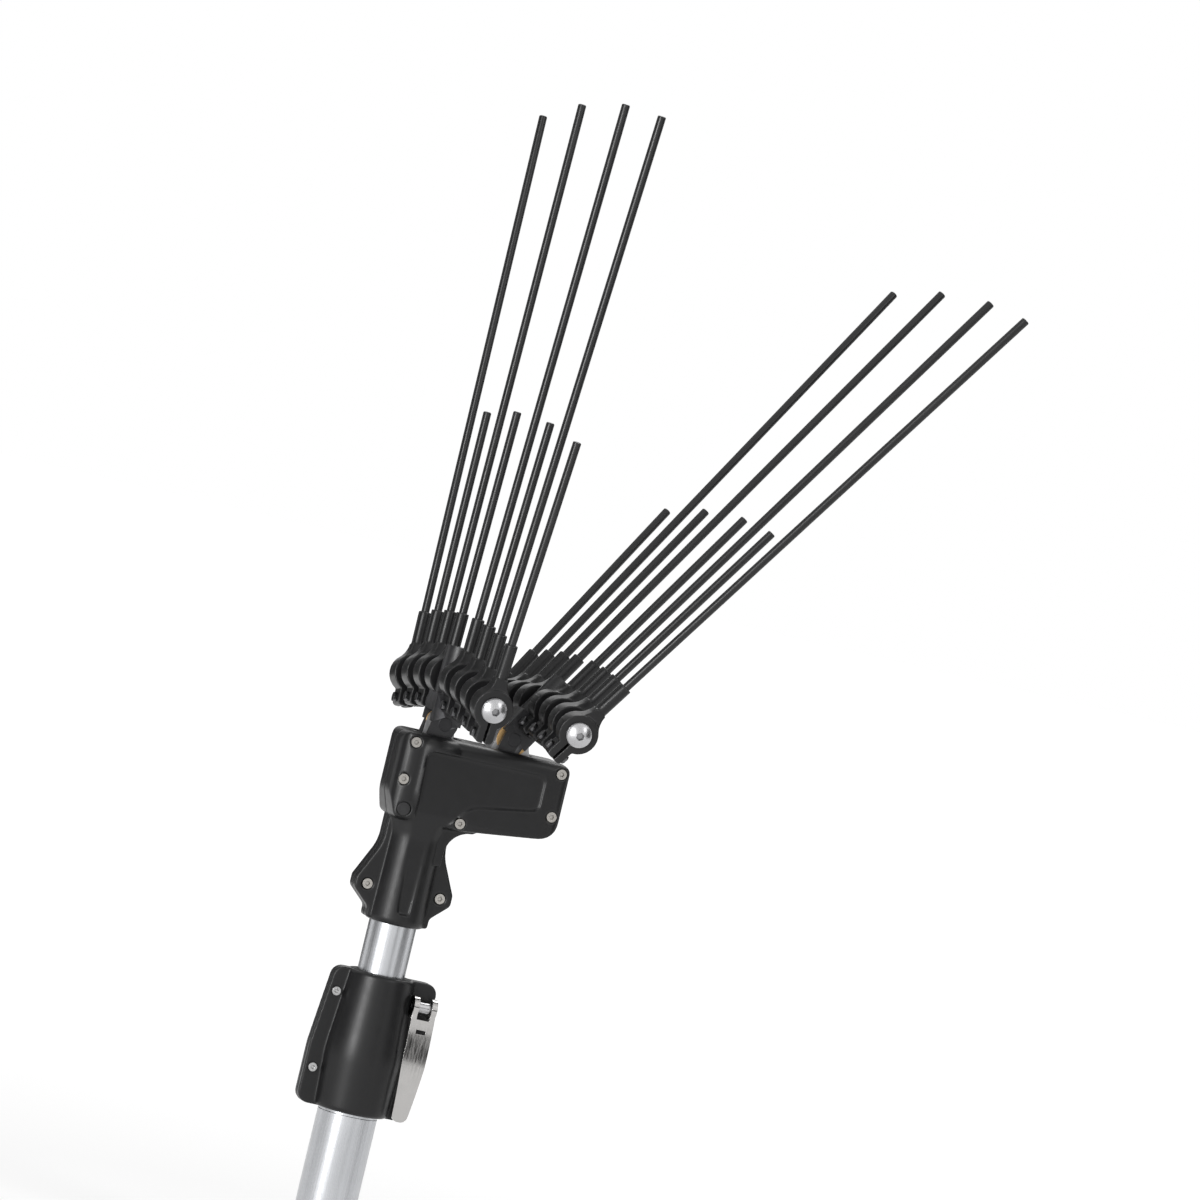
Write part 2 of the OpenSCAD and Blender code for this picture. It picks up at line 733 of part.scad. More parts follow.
module pivot_frame() {
    color("silver") difference() {
        union() {
            intersection() {
                translate([0, 0, top_z]) barrel_block(wall + seat_gap);
                translate([-frame_back, -barrel_half_t, frame_top - frame_t])
                    cube([frame_back + frame_front, 2 * barrel_half_t, frame_t + overrun]);
            }
            for (lug = LUGS) translate([lug[0], 0, pivot_z]) upright(-lug_half_t, lug_half_t) {
                circle(lug[1]);
                polygon([[-lug[2], frame_top - pivot_z - overrun], [lug[2], frame_top - pivot_z - overrun],
                         [lug[1], 0], [-lug[1], 0]]);
            }
        }
        for (x = [0, pivot_span]) {
            translate([x, 0, pivot_z])
                pin_y(pivot_pin_d / 2 + bush_wall + seat_gap, -frame_half_w, frame_half_w);
            for (y = [lug_half_t + clear / 6, -cheek_out - clear])
                translate([x - slot_half, y, frame_top - frame_t - overrun])
                    cube([2 * slot_half, cheek_out + clear - lug_half_t - clear / 6, frame_t + 2 * overrun]);
        }
    }
}

module pivot_bushes() {
    color("peru") for (lug = LUGS, s = [0, 1]) translate([lug[0], 0, pivot_z]) mirror([0, s, 0])
        difference() {
            union() {
                pin_y(pivot_pin_d / 2 + bush_wall, seat_gap, lug_half_t + flange_bush_t / 2);
                pin_y(lug[3], lug_half_t + seat_gap, lug_half_t + flange_bush_t);
            }
            pin_y(pivot_pin_d / 2 + run_gap, -overrun, lug_half_t + flange_bush_t + overrun);
        }
}

// Half angle of an involute tooth at radius r
function involute(base, r) = let (a = acos(min(base / r, 1))) tan(a) * 180 / PI - a;

// Spur gear outline; widen is added to the tooth thickness, tip and root are radii
function gear_points(teeth, tip, root, widen) =
    let (pitch = gear_module * teeth / 2, base = pitch * cos(pressure_angle),
         half_pitch = 90 / teeth + widen / pitch * 90 / PI + involute(base, pitch),
         radii = [for (i = [0 : 4]) max(base, root) + (tip - max(base, root)) * i / 4])
    [for (t = [0 : teeth - 1]) let (mid = 360 * t / teeth) each concat(
        [let (a = mid - half_pitch) root * [cos(a), sin(a)]],
        [for (r = radii) let (a = mid - half_pitch + involute(base, r)) r * [cos(a), sin(a)]],
        [for (i = [4 : -1 : 0]) let (r = radii[i], a = mid + half_pitch - involute(base, r))
            r * [cos(a), sin(a)]],
        [let (a = mid + half_pitch) root * [cos(a), sin(a)]])];

module small_gear(bore_d) {
    linear_extrude(gear_t) difference() {
        polygon(gear_points(sun_teeth, pitch_r + gear_module * tooth_addendum_share,
                            pitch_r - gear_module * tooth_dedendum_share,
                            -gear_module * tooth_backlash_share));
        circle(d = bore_d);
    }
}

module sun_gear() {
    color("darkgray") translate([0, 0, gear_foot]) small_gear(sun_shaft_d + 2 * seat_gap);
}

// A planet meshes with the sun's tooth at its own angle: its gap faces the sun
module planet_gear(i) {
    color("darkgray") rotate(120 * (i - 1)) translate([planet_orbit, 0, gear_foot])
        rotate(180 / sun_teeth) small_gear(planet_pin_d + 2 * run_gap);
}

module gear_ring() {
    color("slategray") difference() {
        translate([0, 0, case_foot]) cylinder(r = case_r, h = case_top - case_foot);
        translate([0, 0, case_foot - overrun]) linear_extrude(carrier_foot - case_foot + overrun)
            rotate(180 / ring_teeth)
            polygon(gear_points(ring_teeth, ring_pitch_r + gear_module * tooth_dedendum_share,
                                ring_pitch_r - gear_module * tooth_addendum_share,
                                gear_module * tooth_backlash_share));
        translate([0, 0, carrier_foot - clear / 2])
            cylinder(r = case_r - ring_wall + clear / 2, h = carrier_top + clear - carrier_foot);
        translate([0, 0, carrier_top]) cylinder(r = bearing_r + seat_gap, h = cover_t * 2);
    }
}

module crank_bearing() {
    color("gainsboro") translate([0, 0, case_top - cover_t]) difference() {
        cylinder(r = bearing_r, h = cover_t);
        translate([0, 0, -overrun]) cylinder(r = crank_shaft_r + run_gap, h = cover_t + 2 * overrun);
    }
}

// Planet carrier, shaft and crank in one piece, with the crank at the end of its throw
module crank_carrier() {
    color("gray") {
        translate([0, 0, carrier_foot]) cylinder(r = planet_orbit + planet_pin_d, h = carrier_t);
        translate([0, 0, carrier_foot]) cylinder(r = crank_shaft_r, h = crank_top - carrier_foot);
        for (i = [0 : 2]) rotate(120 * i) translate([planet_orbit, 0, gear_foot])
            cylinder(d = planet_pin_d, h = carrier_top - gear_foot);
        translate([0, 0, crank_top - crank_t]) cylinder(r = crank_r, h = crank_t);
        translate([-crank_throw, 0, crank_top - crank_t])
            cylinder(d = roller_pin_d, h = roller_top - crank_top + crank_t);
    }
}

module crank_roller() {
    color("gainsboro") translate([-crank_throw, 0, crank_top]) difference() {
        cylinder(r = roller_r, h = roller_top - crank_top);
        translate([0, 0, -overrun])
            cylinder(d = roller_pin_d + 2 * seat_gap, h = roller_top - crank_top + 2 * overrun);
    }
}

module motor_can() {
    color("dimgray") translate([0, 0, motor_foot]) difference() {
        cylinder(r = case_r, h = motor_l);
        translate([0, 0, can_wall]) cylinder(r = case_r - can_wall, h = motor_l - 2 * can_wall);
        translate([0, 0, motor_l / 2]) cylinder(d = sun_shaft_d + 2 * run_gap, h = motor_l);
        translate([0, 0, can_wall / 2]) cylinder(d = sun_shaft_d + 2 * run_gap, h = motor_l / 2);
    }
}

module motor_rotor() {
    color("brown") {
        translate([0, 0, shaft_foot]) cylinder(d = sun_shaft_d, h = gear_top - shaft_foot);
        translate([0, 0, motor_foot + can_wall + rotor_end_gap])
            cylinder(r = rotor_r, h = motor_l - 2 * (can_wall + rotor_end_gap));
    }
}

// Two side bars that join the lever arms, and the yoke that the crank's roller works in
module drive_link() {
    color("gray") difference() {
        union() {
            for (s = [0, 1]) mirror([0, s, 0]) upright(link_in, link_out) {
                translate([link_pin_x, link_pin_z])
                    link_plate([0, 0], link_end_r, [pivot_span, 0], link_end_r - seat_gap);
                translate([-crank_throw - yoke_half, yoke_foot])
                    square([2 * yoke_half, link_pin_z - yoke_foot]);
            }
            translate([-crank_throw - yoke_half, -link_out, yoke_foot])
                cube([2 * yoke_half, 2 * link_out, yoke_top - yoke_foot]);
        }
        translate([-crank_throw - roller_r - yoke_play, -link_out - overrun, yoke_foot - overrun])
            cube([2 * (roller_r + yoke_play), 2 * (link_out + overrun), yoke_slot_top - yoke_foot + overrun]);
        for (x = [0, pivot_span]) translate([link_pin_x + x, 0, link_pin_z])
            pin_y(link_pin_d / 2 + run_gap, -link_out - overrun, link_out + overrun);
    }
}

// Combs, each given by its side

function lean(side) = side == "left" ? left_lean : right_lean;
function pivot_x(side) = side == "left" ? 0 : pivot_span;
function cheek_r(side) = side == "left" ? left_cheek_r : right_cheek_r;

// Places a child that is drawn with its pivot at the origin and its post upright
module on_post(side) {
    translate([pivot_x(side), 0, pivot_z]) rotate([0, lean(side), 0]) children();
}

// Places a child on the bowed bar, at an angle along the bow
module on_bow(side, angle) {
    on_post(side) translate([0, 0, post_l - bow_r]) rotate([angle, 0, 0]) translate([0, 0, bow_r]) children();
}

// Places a child on the outer face of the last holder: 0 at the far side, 1 towards the viewer
module on_end(side, near) {
    on_bow(side, (2 * near - 1) * end_holder_turn) mirror([0, 1 - near, 0])
        translate([0, -eye_w / 2 - holder_bore_gap, 0]) children();
}

// Angle along the bow of holder i, counted from the far side
function holder_angle(i) =
    i <= 4 ? -middle_turn - (4 - i) * holder_turn : middle_turn + (i - 5) * holder_turn;

// Long and short tines alternate, and the right comb has them the other way round
function is_long(side, i) = (i % 2 == 1) == (side == "left");

module comb_post(side) {
    color("#202022") difference() {
        union() {
            on_post(side) translate([0, 0, fork_shoulder])
                cylinder(d = post_d, h = post_l + post_top_above - fork_shoulder);
            translate([pivot_x(side), 0, pivot_z]) upright(-cheek_out, cheek_out) {
                rotate(-lean(side)) translate([-fork_half, 0])
                    square([2 * fork_half, fork_roof + fork_shoulder]);
                link_plate([0, 0], cheek_r(side), [link_pin_x, link_pin_z - pivot_z], arm_end_r);
            }
        }
        translate([pivot_x(side), 0, pivot_z]) upright(-cheek_in, cheek_in) {
            circle(fork_roof);
            translate([-post_l, -2 * arm_l]) square([2 * post_l, 2 * arm_l]);
        }
        translate([pivot_x(side), 0, pivot_z])
            pin_y(pivot_pin_d / 2 + seat_gap, -cheek_out - overrun, cheek_out + overrun);
        translate([pivot_x(side) + link_pin_x, 0, link_pin_z])
            pin_y(link_pin_d / 2 + seat_gap, -cheek_out - overrun, cheek_out + overrun);
        on_post(side) translate([0, 0, post_l]) pin_y(bar_r + holder_bore_gap, -post_d, post_d);
    }
}

module pivot_pin(side) {
    color("#303033") translate([pivot_x(side), 0, pivot_z]) pin_y(pivot_pin_d / 2, -cheek_out, cheek_out);
}

module link_pin(side) {
    color("gainsboro") translate([pivot_x(side) + link_pin_x, 0, link_pin_z])
        pin_y(link_pin_d / 2, -link_out - clear / 2, link_out + clear / 2);
}

module comb_bar(side) {
    color("#303033") difference() {
        on_post(side) translate([0, 0, post_l - bow_r]) rotate([90, 0, 90]) rotate(90 - end_turn)
            rotate_extrude(angle = 2 * end_turn, $fn = 128) translate([bow_r, 0]) circle(bar_r);
        for (s = [0, 1]) on_end(side, s) pin_y(end_bolt_d / 2 + seat_gap, -overrun, end_bolt_l + seat_gap);
    }
}

module end_bolts(side) {
    color("#4a4b50") for (s = [0, 1]) on_end(side, s) {
        pin_y(end_washer_d / 2, -end_washer_t, 0);
        difference() {
            union() {
                pin_y(end_bolt_d / 2, -end_washer_t, end_bolt_l);
                translate([0, -end_washer_t, 0]) rotate([90, 0, 0]) rotate_extrude()
                    intersection() {
                        square([end_head_d / 2, end_head_h]);
                        translate([0, end_head_h - end_head_d * dome_share]) circle(end_head_d * dome_share);
                    }
            }
            translate([0, -end_washer_t - end_head_h + end_socket_depth, 0]) rotate([90, 0, 0])
                cylinder(d = end_socket_d, h = end_head_h, $fn = 6);
        }
    }
}

// Concave fillet between eye and socket, seen from the front
neck_z = sqrt(pow(eye_r + neck_fillet_r, 2) - pow(socket_r + neck_fillet_r, 2));
neck_a = atan2(neck_z, socket_r + neck_fillet_r);
function neck_flank() = [for (i = [0 : arc_steps]) let (a = 180 + neck_a * (1 - i / arc_steps))
    [socket_r + neck_fillet_r + neck_fillet_r * cos(a), neck_z + neck_fillet_r * sin(a)]];

function neck_outline() = concat([[0, 0]], neck_flank(),
    [for (i = [arc_steps : -1 : 0]) let (q = neck_flank()[i]) [-q.x, q.y]]);

// Thickness of the neck seen from the side
function neck_side() = [
    [-eye_w / 2, -eye_r], [eye_w / 2, -eye_r], [eye_w / 2, eye_r / 2], [socket_r, neck_z],
    [-socket_r, neck_z], [-eye_w / 2, eye_r / 2]];

function pinch_outline() = inset_points(rounded([
    [-pinch_half, -pinch_reach, pinch_corner_r], [pinch_half, -pinch_reach, pinch_corner_r],
    [pinch_half, 0, pinch_corner_r], [-pinch_half, 0, pinch_corner_r]]), 0);

// Holder with the bar at the origin and the tine upright
module holder_shape() {
    difference() {
        union() {
            pin_y(eye_r, -eye_w / 2, eye_w / 2);
            intersection() {
                upright(-eye_w / 2, eye_w / 2) polygon(neck_outline());
                translate([-eye_r, 0, 0]) rotate([90, 0, 90]) linear_extrude(2 * eye_r) polygon(neck_side());
            }
            translate([0, 0, eye_r / 2]) cylinder(r = socket_r, h = socket_top - eye_r / 2);
            upright(-eye_w / 2, eye_w / 2) polygon(pinch_outline());
        }
        pin_y(bar_r + holder_bore_gap, -eye_w, eye_w);
        translate([0, 0, socket_top - tine_depth]) cylinder(r = tine_r + seat_gap, h = tine_depth + overrun);
        translate([-pinch_slit / 2, -eye_w, -pinch_reach - overrun])
            cube([pinch_slit, 2 * eye_w, pinch_reach + overrun]);
        translate([-pinch_half - overrun, 0, -pinch_bolt_drop]) rotate([0, 90, 0])
            cylinder(d = pinch_bolt_d + 2 * seat_gap, h = 2 * (pinch_half + overrun));
    }
}

module holder(side, i) {
    color("#262628") on_bow(side, holder_angle(i)) holder_shape();
}

module pinch_bolts(side) {
    color("silver") for (i = HOLDERS)
        on_bow(side, holder_angle(i)) translate([0, 0, -pinch_bolt_drop]) rotate([0, 90, 0]) {
            translate([0, 0, -pinch_half - pinch_head_h]) cylinder(d = pinch_head_d, h = pinch_head_h);
            translate([0, 0, -pinch_half - overrun])
                cylinder(d = pinch_bolt_d, h = 2 * pinch_half + overrun + pinch_nut_h);
            translate([0, 0, pinch_half]) cylinder(d = pinch_head_d, h = pinch_nut_h, $fn = 6);
        }
}

module tines(side, long) {
    l = tine_depth + (long ? long_tine : short_tine);
    color("#1a1a1c") for (i = HOLDERS) if (is_long(side, i) == long)
        on_bow(side, holder_angle(i)) translate([0, 0, socket_top - tine_depth]) {
            cylinder(r = tine_r, h = l - tip_chamfer);
            translate([0, 0, l - tip_chamfer])
                cylinder(r1 = tine_r, r2 = tine_r - tip_chamfer, h = tip_chamfer);
        }
}

lower_tube();
collar_front_half();
collar_rear_half();
clamp_sleeve();
collar_screws();
collar_nuts();
clamp_bolt();
lever_pin();
clamp_lever();
upper_tube();
guide_bush();
housing_front();
housing_rear();
housing_screws();
side_plug();
pivot_frame();
pivot_bushes();
motor_can();
gear_ring();
crank_bearing();
crank_carrier();
crank_roller();
motor_rotor();
sun_gear();
drive_link();
for (i = [1 : 3]) planet_gear(i);
for (side = SIDES) {
    comb_post(side);
    pivot_pin(side);
    link_pin(side);
    comb_bar(side);
    end_bolts(side);
    pinch_bolts(side);
    tines(side, true);
    tines(side, false);
    for (i = HOLDERS) holder(side, i);
}
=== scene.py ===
"""Olive harvester head: finishes, soft edges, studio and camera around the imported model."""

import math

import bpy
from mathutils import Matrix, Vector

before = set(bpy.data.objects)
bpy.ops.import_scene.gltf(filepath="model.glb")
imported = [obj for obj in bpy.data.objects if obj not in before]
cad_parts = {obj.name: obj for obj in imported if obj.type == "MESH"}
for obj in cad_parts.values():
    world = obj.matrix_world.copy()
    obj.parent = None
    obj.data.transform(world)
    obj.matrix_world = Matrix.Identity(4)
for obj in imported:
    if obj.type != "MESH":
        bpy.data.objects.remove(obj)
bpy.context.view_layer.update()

bl_info = {
    "name": "Olive Harvester Head",
    "version": (1, 0, 0),
    "blender": (4, 5, 0),
    "location": "View3D > Sidebar > Harvester",
    "description": "Dresses the harvester head with moulded, drawn and carbon finishes",
    "category": "Object",
}

MM = 0.001

# Groups of like pieces
SIDES = ("left", "right")
HOLDERS = range(1, 9)
COLLAR_HALVES = ("collar_front_half", "collar_rear_half")
HOUSING_HALVES = ("housing_front", "housing_rear")
GEARS = ("gear_ring", "sun_gear", "planet_gear_1", "planet_gear_2", "planet_gear_3")

# Edges of the plain pieces
WELD_REACH = 0.01 * MM
FLAT_ANGLE = math.radians(0.6)
SHARP_ANGLE = math.radians(30.0)
FACE_WEIGHT = 80

# Skin of the moulded pieces: cell size, smoothing passes and the share of faces kept
COLLAR_SKIN = (0.7 * MM, 12, 0.14)
HOUSING_SKIN = (0.7 * MM, 14, 0.16)
HOLDER_SKIN = (0.5 * MM, 7, 0.14)
MELT_FACTOR = 0.5

# Reach of the painted shade in screw sockets
SMALL_SOCKET = 1.2 * MM
LARGE_SOCKET = 4.0 * MM

# Directions of fine lines, as noise scales along X, Y and Z
LINES_ON_X = (60.0, 900.0, 900.0)
LINES_ON_Z = (900.0, 900.0, 60.0)
NO_LINES = (400.0, 400.0, 400.0)

# Colours that follow from the material
SLEEVE_BLACK = (0.02, 0.02, 0.02)
GUIDE_GREY, GUIDE_WEAR = (0.12, 0.12, 0.13), (0.2, 0.2, 0.2)
PLUG_BLACK, PLUG_WEAR = (0.016, 0.016, 0.017), (0.06, 0.06, 0.06)
HOUSING_WEAR = (0.085, 0.085, 0.087)
COLLAR_WEAR = (0.09, 0.09, 0.092)
HOLDER_WEAR = (0.1, 0.1, 0.102)
COAT_WEAR = (0.2, 0.2, 0.21)
COLLAR_SCREW = (0.52, 0.52, 0.52)
SHELL_SCREW = (0.5, 0.48, 0.45)
PLATED_STEEL = (0.5, 0.5, 0.51)
PINCH_STEEL = (0.15, 0.15, 0.155)
PIN_STEEL = (0.05, 0.05, 0.052)
CAST_GREY = (0.55, 0.55, 0.56)
OILED_BRONZE = (0.62, 0.4, 0.18)
GEAR_STEEL = (0.42, 0.42, 0.43)
RACE_STEEL = (0.66, 0.66, 0.67)
MOTOR_STEEL = (0.3, 0.3, 0.31)

# Lamps: degrees right of the camera, degrees up, distance, width and height,
# and share of the key lamp's power
LAMPS = (
    ("key", -32.0, 5.0, 2.6, (0.7, 1.4), 1.0),
    ("fill", 56.0, 30.0, 2.8, (1.2, 1.2), 0.25),
    ("top", 170.0, 58.0, 2.4, (1.4, 1.0), 0.5),
)

# Dark cards: degrees right of the camera, half width and half height
FLAGS = (
    ("left_flag", -78.0, (0.8, 1.6)),
    ("right_flag", 78.0, (0.8, 1.6)),
    ("back_left_flag", -142.0, (0.7, 1.6)),
    ("back_right_flag", 142.0, (0.7, 1.6)),
)
LEVER_FLAG = ("front_flag", 31.0, (0.22, 0.3))
LEVER_HEIGHT = 0.17
FLAG_REACH = 2.2
FLAG_GREY = (0.06, 0.06, 0.06)

WHITE = (1.0, 1.0, 1.0, 1.0)
FLOOR_HALF = 20.0
FLOOR_DROP = -1.0 * MM
SURROUND_LIGHT, SURROUND_SEEN = 0.3, 1.0
# The floor's own glow rises away from the object, so that the shadow near it stays
GLOW_REACH, GLOW_LEVEL = (0.4, 3.5), (0.3, 0.8)
MATT = 0.9
SENSOR_WIDTH = 36.0
CLIP_END = 100.0


# Shader helpers

def shaded(colour, share):
    """The colour, darker or lighter by a share."""
    return [c * share for c in colour]


def set_span(node, span, to):
    """Sets both ranges of a Map Range node."""
    sockets = ("From Min", "From Max", "To Min", "To Max")
    for socket, number in zip(sockets, (*span, *to)):
        node.inputs[socket].default_value = number


class Finish:
    """A Principled material that is built up from a few named layers."""

    def __init__(self, name, colour, rough, metal=0.0):
        self.material = bpy.data.materials.new(name)
        self.material.use_nodes = True
        self.material.diffuse_color = (*colour, 1.0)
        self.tree = self.material.node_tree
        self.shader = self.tree.nodes["Principled BSDF"]
        self.colour = tuple(colour)
        self.set("Base Color", (*colour, 1.0))
        self.set("Roughness", rough)
        self.set("Metallic", metal)
        self.place = self.node("ShaderNodeTexCoord").outputs["Object"]
        self.shade = None
        self.normal = None

    def set(self, socket, value):
        self.shader.inputs[socket].default_value = value

    def node(self, kind, **values):
        made = self.tree.nodes.new(kind)
        for key, value in values.items():
            setattr(made, key, value)
        return made

    def link(self, source, target):
        self.tree.links.new(source, target)

    def spread(self, scale, turn=(0.0, 0.0, 0.0)):
        """Object coordinates in metres, turned and then stretched."""
        mapping = self.node("ShaderNodeMapping", vector_type="TEXTURE")
        mapping.inputs["Rotation"].default_value = turn
        self.link(self.place, mapping.inputs["Vector"])
        stretch = self.node("ShaderNodeMapping")
        stretch.inputs["Scale"].default_value = scale
        self.link(mapping.outputs["Vector"], stretch.inputs["Vector"])
        return stretch.outputs["Vector"]

    def noise(self, scale, detail=4.0, vector=None):
        made = self.node("ShaderNodeTexNoise")
        made.inputs["Scale"].default_value = scale
        made.inputs["Detail"].default_value = detail
        made.inputs["Roughness"].default_value = 0.55
        self.link(self.place if vector is None else vector, made.inputs["Vector"])
        return made.outputs["Fac"]

    def lines(self, grain):
        """Fine parallel lines, from noise that is stretched along one axis."""
        return self.noise(1.0, detail=3.0, vector=self.spread(grain))

    def cells(self, scale, vector=None):
        made = self.node("ShaderNodeTexVoronoi")
        made.inputs["Scale"].default_value = scale
        self.link(self.place if vector is None else vector, made.inputs["Vector"])
        return made.outputs["Distance"]

    def band(self, value, span, to=(0.0, 1.0)):
        """Maps a value from one range to another, clamped."""
        made = self.node("ShaderNodeMapRange")
        set_span(made, span, to)
        self.link(value, made.inputs["Value"])
        return made.outputs["Result"]

    def tint(self, mask, colour):
        """Lays another colour over the base where the mask is high."""
        made = self.node("ShaderNodeMix", data_type="RGBA")
        if self.shade is None:
            made.inputs["A"].default_value = (*self.colour, 1.0)
        else:
            self.link(self.shade, made.inputs["A"])
        made.inputs["B"].default_value = (*colour, 1.0)
        self.link(mask, made.inputs["Factor"])
        self.shade = made.outputs["Result"]
        self.link(self.shade, self.shader.inputs["Base Color"])

    def patches(self, share, scale, span, most=1.0, detail=4.0):
        """Soft patches where the base colour is darker or lighter by a share."""
        mask = self.band(self.noise(scale, detail), span, (0.0, most))
        self.tint(mask, shaded(self.colour, share))

    def gloss(self, value, low, high):
        """Roughness that varies between two levels."""
        self.link(self.band(value, (0.3, 0.7), (low, high)), self.shader.inputs["Roughness"])

    def bump(self, height, strength, depth):
        made = self.node("ShaderNodeBump")
        made.inputs["Strength"].default_value = strength
        made.inputs["Distance"].default_value = depth
        self.link(height, made.inputs["Height"])
        if self.normal is not None:
            self.link(self.normal, made.inputs["Normal"])
        self.normal = made.outputs["Normal"]
        self.link(self.normal, self.shader.inputs["Normal"])

    def worn_edges(self, colour, span=(0.52, 0.6)):
        """Paler, rubbed edges, broken up by a coarse noise."""
        edge = self.band(self.node("ShaderNodeNewGeometry").outputs["Pointiness"], span)
        patch = self.band(self.noise(90.0), (0.35, 0.7))
        both = self.node("ShaderNodeMath", operation="MULTIPLY")
        self.link(edge, both.inputs[0])
        self.link(patch, both.inputs[1])
        self.tint(both.outputs["Value"], colour)

    def painted_hollow_shade(self, share, reach):
        """Painted shade in recesses, such as a screw's socket: the base colour is darkened where
        ambient occlusion finds nearby surfaces.
        """
        near = self.node("ShaderNodeAmbientOcclusion")
        near.inputs["Distance"].default_value = reach
        mask = self.band(near.outputs["AO"], (0.35, 0.85), (1.0, 0.0))
        self.tint(mask, shaded(self.colour, share))


# Finishes

def moulded(name, colour, rough, grain, wear):
    """Moulded nylon: spark-eroded grain, faint flow clouds and rubbed edges."""
    made = Finish(name, colour, rough)
    made.set("Specular IOR Level", 0.34)
    made.patches(1.25, scale=28.0, span=(0.3, 0.8), detail=3.0)
    made.worn_edges(wear)
    made.gloss(made.noise(160.0), rough - 0.02, rough + 0.04)
    made.bump(made.noise(grain, detail=2.0), strength=0.08, depth=0.2 * MM)
    made.bump(made.noise(45.0, detail=2.0), strength=0.03, depth=1.0 * MM)
    return made.material


def drawn_tube(name, colour, rough):
    """Clear anodised tube: die lines along the draw, cloudy bloom and a few scratches."""
    made = Finish(name, colour, rough, metal=1.0)
    lines = made.lines((1400.0, 1400.0, 6.0))
    made.patches(0.86, scale=22.0, span=(0.3, 0.75))
    made.tint(made.band(lines, (0.55, 0.8), (0.0, 0.5)), shaded(colour, 0.78))
    scratch = made.cells(0.35, made.spread((160.0, 160.0, 900.0), turn=(0.4, 0.2, 0.0)))
    made.gloss(lines, rough - 0.06, rough + 0.12)
    made.bump(lines, strength=0.12, depth=0.2 * MM)
    made.bump(made.band(scratch, (0.0, 0.06)), strength=0.05, depth=0.1 * MM)
    return made.material


def brushed(name, colour, rough, grain=LINES_ON_X):
    """Steel with fine tool lines and a few stains."""
    made = Finish(name, colour, rough, metal=1.0)
    lines = made.lines(grain)
    made.patches(0.7, scale=120.0, span=(0.35, 0.8), most=0.5)
    made.gloss(lines, rough - 0.08, rough + 0.14)
    made.bump(lines, strength=0.1, depth=0.1 * MM)
    return made.material


def turned_head(name, colour, rough, socket):
    """Bright bolt head: hair-fine turning marks and painted shade in its socket."""
    made = Finish(name, colour, rough, metal=1.0)
    marks = made.noise(2600.0, detail=2.0)
    made.patches(0.75, scale=120.0, span=(0.4, 0.8), most=0.4)
    # Painted shade: the socket and other hollows are darkened in the base colour
    made.painted_hollow_shade(0.2, socket)
    made.gloss(marks, rough - 0.05, rough + 0.08)
    made.bump(marks, strength=0.05, depth=0.1 * MM)
    return made.material


def polished_sheet(name, colour):
    """Polished stainless sheet: soft ripples from the stamping and hairline scuffs."""
    made = Finish(name, colour, rough=0.12, metal=1.0)
    made.patches(0.72, scale=35.0, span=(0.45, 0.8), most=0.7)
    made.gloss(made.noise(1.0, vector=made.spread(LINES_ON_Z)), 0.08, 0.24)
    made.bump(made.noise(60.0, detail=1.0), strength=0.12, depth=1.0 * MM)
    return made.material


def cast(name, colour):
    """Shot-blasted die casting."""
    made = Finish(name, colour, rough=0.45, metal=1.0)
    made.patches(0.62, scale=70.0, span=(0.4, 0.8), most=0.8)
    made.gloss(made.noise(300.0), 0.36, 0.58)
    made.bump(made.cells(1600.0), strength=0.2, depth=0.2 * MM)
    return made.material


def powder_coat(name, colour):
    """Black powder coat with its orange-peel skin."""
    made = Finish(name, colour, rough=0.38)
    made.set("Specular IOR Level", 0.45)
    made.patches(1.6, scale=40.0, span=(0.4, 0.8))
    made.worn_edges(COAT_WEAR, span=(0.54, 0.64))
    made.gloss(made.noise(200.0), 0.3, 0.46)
    made.bump(made.noise(900.0, detail=2.0), strength=0.2, depth=0.2 * MM)
    return made.material


def carbon_rod(name, colour):
    """Pultruded carbon: fine fibre grain and faint dull patches under a thin resin skin."""
    made = Finish(name, colour, rough=0.34)
    made.set("Specular IOR Level", 0.4)
    made.set("Coat Weight", 0.1)
    made.set("Coat Roughness", 0.2)
    made.patches(1.5, scale=60.0, span=(0.4, 0.75))
    made.gloss(made.noise(30.0), 0.28, 0.42)
    made.bump(made.noise(900.0), strength=0.06, depth=0.2 * MM)
    return made.material


def bronze(name, colour):
    """Sintered bronze, dark with oil in its pores."""
    made = Finish(name, colour, rough=0.36, metal=1.0)
    made.tint(made.band(made.cells(2200.0), (0.0, 0.35), (0.8, 0.0)), shaded(colour, 0.45))
    made.gloss(made.noise(150.0), 0.28, 0.5)
    made.bump(made.noise(1500.0), strength=0.15, depth=0.1 * MM)
    return made.material


def rubber(name, colour):
    """Matt rubber with a dusty bloom."""
    made = Finish(name, colour, rough=0.7)
    made.patches(2.0, scale=60.0, span=(0.45, 0.8), most=0.7)
    made.gloss(made.noise(220.0), 0.62, 0.82)
    made.bump(made.noise(1100.0), strength=0.25, depth=0.2 * MM)
    return made.material


# Mesh helpers

def paint(node, material):
    """Gives a solid its finish."""
    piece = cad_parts[node]
    piece.data.materials.clear()
    piece.data.materials.append(material)
    return piece


def dress(node, material, edge_round=0.0, segments=2):
    """Gives a solid its finish and breaks its sharp edges with a small round."""
    piece = paint(node, material)
    piece.data.shade_smooth()
    if edge_round > 0:
        weld = piece.modifiers.new("weld", "WELD")
        weld.merge_threshold = WELD_REACH
        flat = piece.modifiers.new("flat_faces", "DECIMATE")
        flat.decimate_type = "DISSOLVE"
        flat.angle_limit = FLAT_ANGLE
        edge = piece.modifiers.new("edge_round", "BEVEL")
        edge.width = edge_round
        edge.segments = segments
        edge.limit_method = "ANGLE"
        edge.angle_limit = SHARP_ANGLE
        edge.miter_outer = "MITER_ARC"
    else:
        piece.data.set_sharp_from_angle(angle=SHARP_ANGLE)
    even = piece.modifiers.new("even_normals", "WEIGHTED_NORMAL")
    even.keep_sharp = True
    even.weight = FACE_WEIGHT


